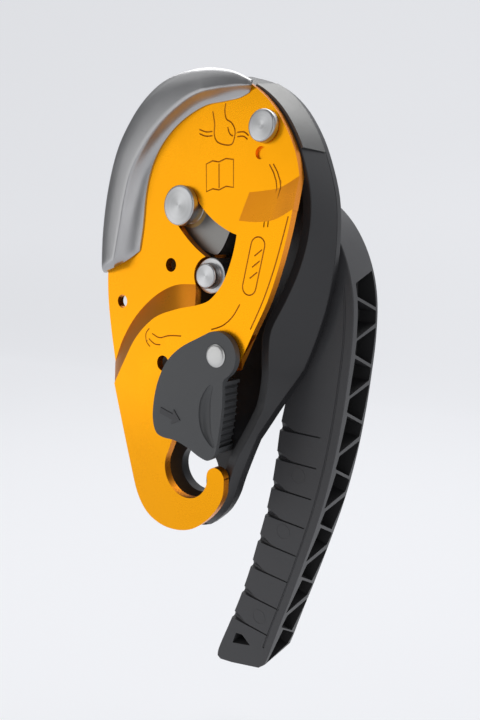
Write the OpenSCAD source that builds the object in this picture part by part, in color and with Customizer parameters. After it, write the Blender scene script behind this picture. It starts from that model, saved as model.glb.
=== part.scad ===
// Self-braking rope descender with a swinging side plate, a cam and a folding handle.
// X runs to the right, Y to the rear and Z up. The front of the device faces -Y.
// The origin is the centre of the attachment hole, in the middle of the lug's thickness.

/* [Side plates] */
// Thickness of both side plates
plate_t = 3; // [2.5:0.1:3.5]
// Clear width of the rope channel between the plates
channel_w = 13; // [12.6:0.1:13.6]
// Height of the step from the disc to the raised arm and hook
step_h = 6.3; // [5.8:0.1:6.8]
// Thickness of the lug around the attachment hole
lug_t = 4; // [3:0.1:4.4]
// Diameter of the attachment hole
attach_d = 18; // [16:0.5:18]
// Clearance between plates that slide past each other
slide_gap = 0.3; // [0.2:0.05:0.5]

/* [Pivots] */
// Diameter of the pivot rivet's head
pivot_head_d = 10.4; // [9:0.2:12]
// Diameter of the cam axle's head
axle_head_d = 14.2; // [13.6:0.2:15]
// Diameter of the cam axle's neck, which runs in the plate's slot
axle_neck_d = 11.6; // [11:0.1:12]
// Diameter of the wear stud's boss
stud_boss_d = 9; // [8:0.2:10]
// Diameter of the gate rivet's head
gate_head_d = 8; // [7:0.2:9]
// Radial running clearance in every hinge
run_gap = 0.05; // [0.02:0.01:0.08]

/* [Cam] */
// Distance from the axle to the tip of the cam
cam_reach = 21; // [18:0.5:21]
// Thickness of the cam
cam_t = 11; // [9:0.5:11.4]
// Radius of the cam's base circle
cam_base_r = 11.5; // [10:0.5:12]

/* [Handle] */
// Depth of the handle from front to rear
grip_depth = 20; // [16:1:22]
// Radius of the handle's hub
hub_r = 19; // [17:0.5:20]
// Number of truss windows in the side of the grip
truss_count = 13; // [9:1:13]

/* [Hidden] */
$fn = 64;

// Levels along Y, from front to rear
disc_rear = -1;
disc_front = disc_rear - plate_t;
raised_rear = disc_rear - step_h;
raised_front = disc_front - step_h;
back_front = disc_rear + channel_w;
back_rear = back_front + plate_t;
handle_front = back_rear + 2.5;
handle_rear = handle_front + grip_depth;
hub_front = back_rear + 0.3;
hub_rear = handle_front + 12;
cap_rear = hub_rear + 3;
washer_t = 0.6;
ring_y = hub_rear + washer_t + 0.1;
ring_t = 1.2;
ring_r = 8.4;
ring_groove = 0.8;
washer_r = 10;
head_front = raised_rear + slide_gap;
boss_front = head_front + 0.8;
wall_front = disc_rear + slide_gap;

// Sizes shared by several parts
past = 1;
overlap = 0.5;
bearing_r = 11;
hub_core_r = 13;
boss_r = 9;
bush_t = 1.5;
head_gap = 0.25;
screw_r = 1.5;
screw_ring_r = 16;
wall_rivet_r = 1.75;
stud_tail_r = 3;
stop_r = 2;
lip_rivet_r = 1.5;
lip_rivet_depth = 1.4;
button_r = 5;
button_well = 5;
far_front = -30;
far_rear = 60;
// Places of the axes, as [x, z]
pivot = [30.5, 120];
axle = [-5, 97];
stud = [6.5, 72];
gate_pin = [16.5, 45];
slot_mid_r = norm(axle - pivot);
slot_w = axle_neck_d + 0.8;
notch_r = 6.9;
stud_r = 6.4;
journal_r = 6;
pivot_pin_r = 3;
pivot_bush_t = 1.2;
gate_pin_r = 2.5;
stop_pin = [-21, 82];
catch_at = [1, 84];
wall_rivet_at = [[17, 136.4], [45, 98], [42.2, 62]];
big = 400;

// A point on a smooth curve through the points of list p, u running from 0 to len(p) - 1
function spline_at(p, u) =
    let (n = len(p) - 1, i = min(floor(u), n - 1), t = u - i, a = p[max(i - 1, 0)], b = p[i],
        c = p[i + 1],
        d = p[min(i + 2, n)])
    0.5 * (2 * b + (c - a) * t + (2 * a - 5 * b + 4 * c - d) * t * t + (3 * b - a - 3 * c + d) * t * t * t);
// A smooth curve through p, with k steps between neighbours
function curve(p, k = 5) = [for (i = [0 : (len(p) - 1) * k]) spline_at(p, i / k)];
// The point [x, z] at depth y
function at_depth(p, y) = [p[0], y, p[1]];
function reversed(p) = [for (i = [len(p) - 1 : -1 : 0]) p[i]];
// A length of arc about c from angle a0 to a1
function arc(c, r, a0, a1, k = 12) =
    [for (i = [0 : k]) let (a = a0 + (a1 - a0) * i / k) c + r * [cos(a), sin(a)]];

// Extrudes a shape drawn in x and z from y = y0 to y = y1
module slab(y0, y1) {
    translate([0, y1, 0]) rotate([90, 0, 0]) linear_extrude(y1 - y0) children();
}
// A round bar along Y at [x, z]
module rod(at, r, y0, y1, fn = 64) {
    translate([at[0], y1, at[1]]) rotate([90, 0, 0]) cylinder(r = r, h = y1 - y0, $fn = fn);
}
module tube(at, r_out, r_in, y0, y1) {
    difference() {
        rod(at, r_out, y0, y1);
        rod(at, r_in, y0 - 1, y1 + 1);
    }
}
// A ring of round wire about an axis along Y
module wire_ring(at, r, wire_r, y) {
    translate([at[0], y, at[1]])
        rotate([90, 0, 0])
            rotate_extrude($fn = 48)
                translate([r, 0]) circle(wire_r, $fn = 16);
}
// A closed skin round a row of sections that each have m points
module skin(sections) {
    m = len(sections[0]);
    n = len(sections);
    points = [for (s = sections) each s];
    sides = [for (i = [0 : n - 2], j = [0 : m - 1]) let (k = (j + 1) % m)
        each [[i * m + j, i * m + k, (i + 1) * m + k], [i * m + j, (i + 1) * m + k, (i + 1) * m + j]]];
    first = [[for (j = [m - 1 : -1 : 0]) j]];
    last = [[for (j = [0 : m - 1]) (n - 1) * m + j]];
    polyhedron(points, concat(sides, first, last), convexity = 8);
}

// ---- Moving side plate ----
// Crease lines of the ramp between the disc and the arm
arm_low = curve([[24, 99.3], [30, 99.4], [36.4, 100], [43.4, 103]]);
arm_high = curve([[24, 90], [31, 89.2], [38, 89.6], [44.8, 92.5]]);
// Crease lines of the long ramp under the left side of the disc
left_low = curve([[-42.2, 37], [-37.5, 46.5], [-30, 56], [-20, 63.8], [-9.5, 68.2], [0.8, 68.6]]);
left_high = curve([[-36.6, 30], [-31, 39], [-24, 49], [-14.5, 56.6], [-4, 60], [5, 61.6]]);
// Outer edge of the disc, from the ramp on the right, over the top and down the left
disc_edge = curve([[43.4, 103], [41.8, 110.6], [38, 119], [32.2, 127.4], [23.6, 134.8], [12, 139.4],
    [-3, 139.6],
    [-16, 135], [-27.5, 125.2], [-36, 112], [-41.2, 97], [-43.8, 84], [-45.3, 73], [-45.4, 62], [-44.2,
        50],
    [-42.2, 37]]);
// Right edge of the arm, from the ramp down to the gate
arm_edge = curve([[44.8, 92.5], [43, 85], [39.8, 74.5], [35.5, 63.5], [29.6, 52.5], [23.2, 40]]);
// Left edge of the arm, from the stud up to the ramp
arm_inner = curve([[5, 61.6], [11.5, 63.6], [17, 69], [20.6, 76], [22.8, 83], [24, 90]]);
// Outer edge of the hook, from its tip round the bottom and up the left
hook_edge = curve([[17.6, 0], [17, -5.5], [14, -11], [9, -16.4], [2.5, -20.8], [-5, -22.8], [-13, -22.4],
    [-20.2, -19], [-25.2, -12], [-28.8, 0], [-32, 12], [-34.6, 22], [-36.6, 30]]);
hook_bore = [0, 1];
hook_bore_r = 10.3;
tip_at = [13.7, 0.5];
tip_r = 3.9;
mouth = [[7, 40], [40, 40], [40, 0.5], [13.7, 0.5], [9.9, -0.4], [8.8, -2.2], [7.2, -3.2], [0, 1],
    [-9.6, 4.6], [-5.4, 14], [1, 27]];
plate_holes = [[[-11.5, 76], 2.55], [[-37.5, 62], 2.6], [[-10.5, 40], 2.9]];
dimple = [28.5, 112];
dimple_r = 2.1;
dimple_depth = 1.2;

// Start and end of the cam axle's slot, in degrees about the pivot
slot_a0 = 212.9;
slot_a1 = 290;
module disc_shape() {
    difference() {
        polygon(concat(disc_edge, left_low, [[3, 74], [6.6, 79.4], [14, 84], [22, 84], [24, 85.4]],
            arm_low));
        polygon(concat(arc(pivot, slot_mid_r + slot_w / 2, slot_a0, slot_a1, 24),
            arc(pivot, slot_mid_r - slot_w / 2, slot_a1, slot_a0, 24)));
        translate(axle) circle(slot_w / 2);
        translate(stud) circle(notch_r);
    }
}
module raised_shape() {
    difference() {
        polygon(concat(arm_high, arm_edge, hook_edge, left_high, arm_inner));
        translate(hook_bore) circle(hook_bore_r);
        polygon(mouth);
    }
    translate(tip_at) circle(tip_r);
}
// A sloping strip of plate between a low crease and a high crease
module ramp(low, high) {
    into = 0.4;
    skin([for (i = [0 : len(low) - 1]) let (d = (high[i] - low[i]) / norm(high[i] - low[i]) * into,
        a = low[i] - d, b = high[i] + d)
        [at_depth(a, disc_rear), at_depth(b, raised_rear), at_depth(b, raised_front), at_depth(a,
            disc_front)]]);
}
module moving_side_plate() {
    color([0.93, 0.55, 0.05]) difference() {
        union() {
            slab(disc_front, disc_rear) disc_shape();
            slab(raised_front, raised_rear) raised_shape();
            ramp(arm_low, arm_high);
            ramp(left_low, left_high);
        }
        rod(stud, notch_r, raised_rear + 0.01, past);
        rod(pivot, pivot_pin_r + pivot_bush_t, far_front, past);
        rod(gate_pin, gate_pin_r, far_front, past);
        for (h = plate_holes) rod(h[0], h[1], far_front, past);
        rod(dimple, dimple_r, disc_front - 1, disc_front + dimple_depth);
        for (p = lip_rivet_at) rod(p, lip_rivet_r, far_front, past);
    }
}
module pivot_bush() {
    color([0.72, 0.6, 0.35]) tube(pivot, pivot_pin_r + pivot_bush_t, pivot_pin_r + run_gap, disc_front,
        disc_rear);
}

// ---- Friction lip on the disc's upper left edge ----
lip_rivet_at = [[10, 134.6], [-21.5, 122.5], [-34.5, 94]];
lip_steps = 6;
lip_outer = curve([[25.6, 134.2], [17.5, 139.2], [4, 142], [-11, 140], [-24.6, 132.6], [-34.6, 120.4],
    [-41.4, 104.6],
    [-44.9, 88], [-46, 73.2]], lip_steps);
lip_crest = curve([[25.2, 132.6], [16.5, 134], [5, 133.8], [-7.5, 130], [-19.4, 124], [-29, 115.6],
    [-34.6, 104.6],
    [-37, 90], [-40, 75.4]], lip_steps);
lip_inner = curve([[24.4, 132], [16, 130.2], [6, 129.2], [-5, 125.4], [-14.4, 118.8], [-21, 109.4],
    [-24, 97.6],
    [-25, 87.6], [-27.5, 82]], lip_steps);
lip_height = 5.6;
// Parts of the lip's height at the middle of the slope, at the middle of the band and at the outer edge
lip_slope = 0.42;
lip_band = 0.94;
lip_side = 0.6;
lip_toe = 0.5;
function lip_rise(u) = lip_height * (0.45 + 0.55 * min(1, 4 * u, 8 * (1 - u)));
// The lip's section at step i, from its inner edge over the crest to its outer edge
function lip_section(i) =
    let (h = lip_rise(i / (len(lip_outer) - 1)), outer = lip_outer[i], crest = lip_crest[i],
        inner = lip_inner[i])
    [at_depth(inner, disc_front), at_depth(inner, disc_front - lip_toe),
        at_depth((crest + inner) / 2, disc_front - lip_slope * h), at_depth(crest, disc_front - h),
        at_depth((crest + outer) / 2, disc_front - lip_band * h), at_depth(outer,
            disc_front - lip_side * h),
        at_depth(outer, disc_front)];
module friction_lip() {
    color([0.66, 0.67, 0.68]) difference() {
        skin([for (i = [0 : len(lip_outer) - 1]) lip_section(i)]);
        for (p = lip_rivet_at) rod(p, lip_rivet_r, disc_front - lip_rivet_depth, past);
    }
}
module lip_rivets() {
    color([0.6, 0.6, 0.6]) for (p = lip_rivet_at) rod(p, lip_rivet_r, disc_front - lip_rivet_depth,
        disc_rear, 24);
}

// ---- Gate over the hook's mouth ----
gate_t = 2.5;
gate_front = raised_front - slide_gap - gate_t;
gate_back = raised_front - slide_gap;
block_rear = disc_front + 1;
gate_ear_r = 8.4;
gate_rivet_rise = 0.8;
gate_collar_t = 0.8;
gate_collar_w = 1.2;
gate_edge = concat(
    curve([[19.4, 36], [19, 27], [17.6, 18], [15.8, 10.4], [12.8, 7.6], [8.6, 8.4], [3.4, 10.8], [-2.6,
        12.6],
        [-8.6, 13], [-12, 14.6], [-13.4, 19.6], [-12.6, 27], [-10.2, 34.4], [-6, 41.4], [0.6, 46.8],
            [8.6, 50.6]]),
    arc(gate_pin, gate_ear_r, 120, -60, 10), [[20.2, 37.4]]);
block_edge = [[12, 36], [12, 12], [13.5, 9], [16, 10.4], [17.6, 18], [19, 27], [19.4, 36]];
module gate() {
    color([0.2, 0.2, 0.21]) difference() {
        union() {
            slab(gate_front, gate_back) polygon(gate_edge);
            slab(gate_back - overlap, block_rear) polygon(block_edge);
        }
        rod(gate_pin, gate_pin_r + run_gap, far_front, past);
    }
}
module gate_rivet() {
    color([0.75, 0.75, 0.74]) {
        rod(gate_pin, gate_head_d / 2, gate_front - gate_rivet_rise, gate_front - run_gap);
        rod(gate_pin, gate_pin_r, gate_front - run_gap, raised_rear);
        rod(gate_pin, gate_pin_r + gate_collar_w, raised_rear, raised_rear + gate_collar_t);
    }
}
module gate_washer() {
    color([0.6, 0.6, 0.6]) tube(gate_pin, gate_pin_r + 2.6, gate_pin_r + gate_collar_w + 0.1, raised_rear,
        raised_rear + 0.7);
}
module gate_spring() {
    color([0.55, 0.55, 0.55]) for (k = [0 : 2]) wire_ring(gate_pin, 6, 0.35,
        raised_rear + 0.9 + 0.72 * k);
}

// ---- Fixed side: plate, wall and what is riveted to them ----
// Outer edge of the wall at its front rim and at its rear rim
wall_front_edge = curve([[13, 138.6], [24, 134.4], [32.6, 127.4], [38.6, 119], [42.6, 110], [45.6, 98],
    [45.4, 86],
    [42, 74], [36.5, 63], [31, 53.5], [30, 45.5], [30, 37], [28.4, 28], [25.2, 18.5], [21.2, 9], [18,
        0.5],
    [15.4, -7], [11, -13.6], [5, -18.8]], 4);
wall_rear_edge = curve([[13.6, 142], [25, 137.4], [34, 129.8], [40.6, 120], [44.8, 110], [48, 98],
    [48.6, 86],
    [47.6, 74], [45.4, 62.5], [42, 52], [38.6, 43.5], [34.4, 34.5], [30.4, 26], [26.4, 16.5], [22.6, 8],
    [18.8, -1], [16, -8.4], [11.6, -15.2], [5, -21]], 4);
wall_thick = 3.2;
joggle_top = 38;
joggle_bottom = 16;
rim_low = 8;
rim_high = 26;
// Depth of the fixed plate's front face at height z
function plate_face_y(z) = lookup(z, [[joggle_bottom, -lug_t / 2], [joggle_top, back_front]]);
function front_rim_y(z) = lookup(z, [[rim_low, raised_rear + 0.5], [rim_high, wall_front]]);
plate_left = curve([[2, -22], [-5, -23], [-12, -21.6], [-19, -16], [-23.4, -7], [-26.4, 8], [-31, 26],
    [-37.6, 42], [-41.5, 56], [-42.5, 72], [-41, 92], [-36, 110], [-28, 123], [-16, 133], [-2, 139.6],
        [6, 141.8]]);
plate_edge = concat(wall_rear_edge, plate_left);
joggle = [[back_front, big], [back_rear, big], [back_rear, joggle_top - 2], [lug_t / 2,
    joggle_bottom - 2],
    [lug_t / 2, -big], [-lug_t / 2, -big], [-lug_t / 2, joggle_bottom], [back_front, joggle_top]];
module fixed_side_plate() {
    color([0.17, 0.17, 0.18]) difference() {
        intersection() {
            slab(-lug_t / 2, back_rear) polygon(plate_edge);
            translate([-60, 0, 0]) rotate([90, 0, 90]) linear_extrude(120) polygon(joggle);
        }
        rod([0, 0], attach_d / 2, -lug_t, lug_t, 96);
        rod(axle, bearing_r, back_front - past, back_rear + past);
        rod(pivot, pivot_pin_r, back_front - past, back_rear + past);
        rod(stud, stud_tail_r, back_front - past, back_rear + past);
        rod(stop_pin, stop_r, back_front - past, back_rear + past);
        for (p = wall_rivet_at) rod(p, wall_rivet_r, back_front - past, back_rear + past);
    }
}
module plate_bearing() {
    color([0.72, 0.6, 0.35]) tube(axle, bearing_r, boss_r + run_gap, back_front, back_rear);
}
// Inward direction of an edge at point i
function inward(p, i) =
    let (a = p[max(i - 1, 0)], b = p[min(i + 1, len(p) - 1)], d = (b - a) / norm(b - a)) [d[1], -d[0]];
// The wall's section at step i: front rim outside and inside, rear rim inside and outside
function wall_section(i) =
    let (f = wall_front_edge[i], r = wall_rear_edge[i], y_front = front_rim_y(f[1]),
        y_rear = plate_face_y(r[1]))
    [at_depth(f, y_front), at_depth(f + inward(wall_front_edge, i) * wall_thick, y_front),
        at_depth(r + inward(wall_rear_edge, i) * wall_thick, y_rear), at_depth(r, y_rear)];
module side_wall() {
    color([0.2, 0.2, 0.21]) skin([for (i = [0 : len(wall_front_edge) - 1]) wall_section(i)]);
}
insert_first = 4;
insert_last = 15;
insert_proud = 0.8;
// The insert's section at step i, a thin steel skin over the wall
function insert_section(i) =
    let (f = wall_front_edge[i], r = wall_rear_edge[i], n = inward(wall_front_edge, i), b = r - n * 0.3,
        y_front = wall_front + 0.2, y_rear = back_front - 0.6)
    [at_depth(f, y_front), at_depth(b + n * 0.4, y_rear), at_depth(b, y_rear),
        at_depth(f - n * insert_proud, y_front)];
module rope_wear_insert() {
    color([0.55, 0.55, 0.54]) skin([for (i = [insert_first : insert_last]) insert_section(i)]);
}
module wall_rivets() {
    color([0.5, 0.5, 0.5]) for (p = wall_rivet_at) rod(p, wall_rivet_r, back_front - 1, back_rear, 32);
}
module plate_pivot_rivet() {
    color([0.78, 0.78, 0.77]) {
        rod(pivot, pivot_head_d / 2, head_front, disc_front - head_gap);
        rod(pivot, pivot_pin_r, disc_front - head_gap, back_rear);
    }
}
spacer_r = 6;
module pivot_spacer() {
    color([0.6, 0.6, 0.6]) tube(pivot, spacer_r, pivot_pin_r, disc_rear + slide_gap, back_front);
}
module wear_stud() {
    color([0.74, 0.74, 0.73]) {
        rod(stud, stud_boss_d / 2, boss_front, disc_front + 1);
        rod(stud, stud_r, disc_front + 1, back_front);
        rod(stud, stud_tail_r, back_front, back_rear);
    }
}
module cam_stop_pin() {
    color([0.6, 0.6, 0.6]) rod(stop_pin, stop_r, 1, back_rear);
}
module cam_axle() {
    color([0.78, 0.78, 0.77]) difference() {
        union() {
            rod(axle, axle_head_d / 2, head_front, disc_front - head_gap);
            rod(axle, axle_neck_d / 2, disc_front - head_gap, cam_y0 - slide_gap);
            rod(axle, journal_r, cam_y0 - slide_gap, cap_rear - 0.4);
        }
        tube(axle, journal_r + past, journal_r - ring_groove, ring_y, ring_y + ring_t);
    }
}
module axle_washer() {
    color([0.6, 0.6, 0.6]) tube(axle, washer_r, journal_r + 0.1, hub_rear + run_gap, hub_rear + washer_t);
}
module axle_retaining_ring() {
    color([0.35, 0.35, 0.36]) tube(axle, ring_r, journal_r - ring_groove, ring_y, ring_y + ring_t);
}

// ---- Cam, its bush and the anti-error catch ----
cam_y1 = back_front - 0.5;
cam_y0 = cam_y1 - cam_t;
cam_tip_a = -52;
cam_tip = axle + cam_reach * [cos(cam_tip_a), sin(cam_tip_a)];
cam_edge = concat(arc(axle, cam_base_r, 50, 250, 24),
    curve([axle + cam_base_r * [cos(250), sin(250)], cam_tip + [-9, 1.6], cam_tip + [-2.4, -0.8],
        cam_tip + [0.6, 0.6],
        cam_tip + [4.2, 6.5], cam_tip + [6.8, 14], axle + [11.8, 6.2], axle + cam_base_r * [cos(50),
            sin(50)]]));
catch_pin_r = 1.5;
catch_pin_y = 3;
catch_pocket_r = 6.4;
catch_pocket_y = 7.2;
cam_boss_rear = back_rear + 1.8;
module cam() {
    color([0.62, 0.62, 0.61]) difference() {
        union() {
            slab(cam_y0, cam_y1) polygon(cam_edge);
            rod(axle, boss_r, cam_y1, cam_boss_rear);
        }
        rod(axle, journal_r + bush_t, cam_y0 - past, far_rear);
        rod(catch_at, catch_pocket_r, cam_y0 + catch_pocket_y, cam_y1 + past);
        rod(catch_at, catch_pin_r, cam_y0 + catch_pin_y, cam_y1 + past);
        tube(axle, 10.6, 8.4, cam_y1 - 3.4, cam_y1 + 0.01);
    }
}
module cam_bush() {
    color([0.72, 0.6, 0.35]) tube(axle, journal_r + bush_t, journal_r + run_gap, cam_y0, cam_boss_rear);
}
module cam_return_spring() {
    color([0.55, 0.55, 0.55]) for (k = [0 : 2]) wire_ring(axle, 9.6, 0.4, cam_y1 - 2.7 + 0.85 * k);
}
module catch_pin() {
    color([0.6, 0.6, 0.6]) rod(catch_at, catch_pin_r, cam_y0 + catch_pin_y, cam_y1 - 0.2, 32);
}
module catch_spring() {
    color([0.55, 0.55, 0.55]) for (k = [0 : 1]) wire_ring(catch_at, 2.3, 0.3, cam_y1 - 0.7 - 0.65 * k);
}
catch_edge = concat(arc(catch_at, 3.6, 30, 200, 12),
    [catch_at + [-1.2, -5], catch_at + [1.8, -6], catch_at + [4, -3]]);
module error_catch() {
    color([0.8, 0.45, 0.05]) difference() {
        slab(cam_y0 + 7.5, cam_y0 + 9.2) polygon(catch_edge);
        rod(catch_at, catch_pin_r + run_gap, 0, far_rear);
    }
}

// ---- Handle behind the fixed plate ----
grip_right = curve([[16, 112], [27, 104.6], [37.4, 96.7], [44.6, 87.8], [49.8, 76.5], [52.4, 64], [52.4,
    50], [51, 36],
    [48.8, 20], [45.6, 3], [41, -15], [34.8, -34], [28.4, -52], [22.8, -67], [18.2, -80]], 4);
grip_end = [[16.6, -84], [13.6, -86.4], [0, -89], [-6, -89.6]];
grip_left = curve([[-7.6, -88.4], [-6.4, -83.8], [-0.2, -69.6], [5, -57], [9.4, -44.6], [13, -32.6],
    [16.6, -20.4],
    [19.4, -8.6], [21.4, 3], [23.1, 15], [26, 28], [28.6, 42], [27.4, 57], [20.5, 70], [8, 77.5]], 4);
web_x = 9;
window_y0 = handle_front + 3.4;
window_y1 = handle_rear - 1.8;
window_top = 67.2;
window_pitch = 10.1;
window_growth = 0.085;
window_long = 6.2;
window_short = 2.1;
// Right edge of the grip at height z, as x, and how far it leans there, in degrees
function side_x(z) = lookup(z, [for (p = reversed(grip_right)) [p[1], p[0]]]);
function side_angle(z) = atan2(side_x(z + 4) - side_x(z - 4), 8);
module truss_window(k) {
    z = window_top - window_pitch * k - window_growth * k * k;
    y_mid = (window_y0 + window_y1) / 2;
    wide = (window_y1 - window_y0) / 2 * (k % 2 == 0 ? -1 : 1);
    translate([side_x(z) - web_x, y_mid, z])
        rotate([0, side_angle(z), 0])
            rotate([90, 0, 90])
                linear_extrude(web_x * 2)
                    polygon([[-wide, window_long], [-wide, -window_long], [wide, -window_short], [wide,
                        window_short]]);
}
end_hole = [[0.6, -79.8], [2.4, -74.8], [5.6, -74.6], [9.6, -78]];
module handle_grip() {
    color([0.24, 0.24, 0.25]) difference() {
        union() {
            slab(handle_front, handle_rear) polygon(concat(grip_right, grip_end, grip_left));
            rod(axle, hub_r, handle_front, hub_rear);
        }
        rod(axle, hub_core_r, handle_front - past, hub_rear + past);
        rod(axle, hub_r + 2, hub_rear, handle_rear + past);
        for (k = [0 : truss_count - 1]) truss_window(k);
        slab(handle_front - past, handle_rear + past) polygon(end_hole);
        hub_screw_holes();
        rod(button_at, button_r + run_gap, hub_rear - button_well, handle_rear + past);
    }
}
button_at = [22, 88];
// Holes of the screws that hold the drive plate, the hub and the cap together
module hub_screw_holes() {
    for (a = [60, 150, 240]) rod(axle + screw_ring_r * [cos(a), sin(a)], screw_r, 0, far_rear, 24);
}
hub_pocket = 2;
module handle_hub() {
    color([0.5, 0.5, 0.52]) difference() {
        rod(axle, hub_core_r, handle_front, hub_rear);
        rod(axle, journal_r + bush_t, 0, far_rear);
        rod(axle, boss_r + slide_gap, 0, handle_front + hub_pocket);
    }
}
module hub_bush() {
    color([0.72, 0.6, 0.35]) tube(axle, journal_r + bush_t, journal_r + run_gap,
        handle_front + hub_pocket, hub_rear);
}
module drive_plate() {
    color([0.5, 0.5, 0.52]) difference() {
        tube(axle, hub_r - 1, boss_r + slide_gap, hub_front, handle_front);
        hub_screw_holes();
    }
}
module hub_screws() {
    color([0.6, 0.6, 0.6]) intersection() {
        hub_screw_holes();
        rod(axle, hub_r, hub_front + 0.3, hub_rear);
    }
}
module hub_cap() {
    color([0.18, 0.18, 0.19]) difference() {
        rod(axle, hub_r, hub_rear, cap_rear);
        rod(axle, 11, hub_rear - past, cap_rear - 0.8);
        rod(axle, journal_r + 0.4, 0, far_rear);
        hub_screw_holes();
    }
}
module handle_return_spring() {
    color([0.55, 0.55, 0.55]) wire_ring(axle, 8.2, 0.3, handle_front + 1.5);
}
module button_spring() {
    color([0.55, 0.55, 0.55]) for (k = [0 : 1]) wire_ring(button_at, 3.2, 0.35, hub_rear - 4.5 + k);
}
button_tail = 2.4;
button_rise = 1.6;
module handle_button() {
    color([0.7, 0.12, 0.1]) difference() {
        rod(button_at, button_r, hub_rear - button_tail, handle_rear + button_rise);
        rod(button_at, button_r - 1, hub_rear - button_tail - past, hub_rear + 0.6);
    }
}

fixed_side_plate();
side_wall();
rope_wear_insert();
wall_rivets();
cam_axle();
axle_washer();
axle_retaining_ring();
plate_pivot_rivet();
pivot_spacer();
wear_stud();
cam_stop_pin();
plate_bearing();
cam_return_spring();
moving_side_plate();
pivot_bush();
friction_lip();
lip_rivets();
gate_rivet();
gate_washer();
gate_spring();
gate();
cam();
cam_bush();
catch_pin();
catch_spring();
error_catch();
handle_grip();
handle_hub();
hub_bush();
drive_plate();
hub_screws();
hub_cap();
handle_return_spring();
button_spring();
handle_button();
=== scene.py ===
"""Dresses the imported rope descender: refined meshes, procedural finishes, a studio and a camera.

The frame gives the bodies, the nodes and their places. Sizes here are in millimetres and are made
metres as each mesh is built. X runs to the right, Y to the rear and Z up, from the attachment hole.
"""
from __future__ import annotations

import logging
import math
from dataclasses import dataclass, field
from enum import Enum
from typing import Any, Iterable, Sequence

import bmesh
import bpy
from mathutils import Euler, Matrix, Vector


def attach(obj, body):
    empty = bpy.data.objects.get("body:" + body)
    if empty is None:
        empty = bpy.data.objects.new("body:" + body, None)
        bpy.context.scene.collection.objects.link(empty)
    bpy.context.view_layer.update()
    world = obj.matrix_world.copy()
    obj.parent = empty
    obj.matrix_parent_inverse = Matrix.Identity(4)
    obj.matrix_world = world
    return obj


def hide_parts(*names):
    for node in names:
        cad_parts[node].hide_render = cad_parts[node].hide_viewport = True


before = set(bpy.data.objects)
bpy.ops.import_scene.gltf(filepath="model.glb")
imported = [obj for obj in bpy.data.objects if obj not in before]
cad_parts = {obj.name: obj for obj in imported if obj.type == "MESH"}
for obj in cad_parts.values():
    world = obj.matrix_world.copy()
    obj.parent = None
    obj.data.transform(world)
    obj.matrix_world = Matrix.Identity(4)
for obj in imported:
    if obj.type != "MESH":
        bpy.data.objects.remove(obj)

LOG = logging.getLogger("descender")
MM = 0.001
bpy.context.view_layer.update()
Point2 = tuple[float, float]
Point3 = tuple[float, float, float]
Colour = tuple[float, float, float]

# Where the axes along Y pass, as x and z.
AXLE_AT = (-5, 97)
PIVOT_AT = (30.5, 120)
STUD_AT = (6.5, 72)
GATE_PIN_AT = (16.5, 45)
CATCH_AT = (1, 84)
BUTTON_AT = (22, 88)


# ------------------------------------------------------------------ plane curves
def smooth(points: Sequence[Point2], steps: int = 8) -> list[Point2]:
    """Draws a smooth curve through the points.

    Args:
        points: The points that the curve passes through.
        steps: How many stretches lie between two neighbours.
    Returns:
        The curve's points, both ends included.
    """
    last = len(points) - 1
    curve: list[Point2] = []
    for k in range(last * steps + 1):
        i = min(k // steps, last - 1)
        t = k / steps - i
        a, b, c, d = points[max(i - 1, 0)], points[i], points[i + 1], points[min(i + 2, last)]
        curve.append(tuple(0.5 * (2 * q + (r - p) * t + (2 * p - 5 * q + 4 * r - s) * t * t
                                  + (3 * q - p - 3 * r + s) * t ** 3) for p, q, r, s in zip(a, b, c, d)))
    return curve


def arc(centre: Point2, radius: float, start: float, end: float, steps: int = 16) -> list[Point2]:
    """Gives points on an arc about centre, from the start angle to the end angle in degrees."""
    angles = [math.radians(start + (end - start) * k / steps) for k in range(steps + 1)]
    return [(centre[0] + radius * math.cos(a), centre[1] + radius * math.sin(a)) for a in angles]


# ------------------------------------------------------------------ meshes
def new_object(name: str, mesh: bpy.types.Mesh) -> bpy.types.Object:
    """Links a new object that shows the mesh, unturned at the origin.

    Args:
        name: The object's name.
        mesh: The mesh that it shows.
    Returns:
        The object.
    """
    piece = bpy.data.objects.new(name, mesh)
    bpy.context.scene.collection.objects.link(piece)
    return piece


def from_bmesh(name: str, bm: bmesh.types.BMesh) -> bpy.types.Object:
    """Makes an object from a bmesh in millimetres, with its faces pointing outwards.

    Args:
        name: The object's name.
        bm: The bmesh, which is freed.
    Returns:
        The object.
    """
    bmesh.ops.recalc_face_normals(bm, faces=bm.faces)
    bmesh.ops.scale(bm, vec=(MM, MM, MM), verts=bm.verts)
    mesh = bpy.data.meshes.new(name)
    bm.to_mesh(mesh)
    bm.free()
    return new_object(name, mesh)


def add_loft(bm: bmesh.types.BMesh, sections: Sequence[Sequence[Point3]], closed: bool = False) -> None:
    """Adds a skin round a row of closed sections.

    Args:
        bm: The bmesh that takes the faces.
        sections: Rings with the same number of points each.
        closed: True where the last ring joins the first; otherwise both ends get a cap.
    """
    rings = [[bm.verts.new(p) for p in ring] for ring in sections]
    count = len(rings[0])
    pairs = list(zip(rings, rings[1:])) + ([(rings[-1], rings[0])] if closed else [])
    for a, b in pairs:
        for j in range(count):
            k = (j + 1) % count
            bm.faces.new((a[j], a[k], b[k], b[j]))
    if not closed:
        bm.faces.new(rings[0][::-1])
        bm.faces.new(rings[-1])


def loft(name: str, sections: Sequence[Sequence[Point3]]) -> bpy.types.Object:
    """Makes an object that is a capped skin round the sections.

    Args:
        name: The object's name.
        sections: Rings with the same number of points each.
    Returns:
        The object.
    """
    bm = bmesh.new()
    add_loft(bm, sections)
    return from_bmesh(name, bm)


def prism(name: str, outline: Sequence[Point2], y0: float, y1: float) -> bpy.types.Object:
    """Makes a straight piece along Y with that outline in x and z."""
    return loft(name, [[(x, y, z) for x, z in outline] for y in (y0, y1)])


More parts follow.
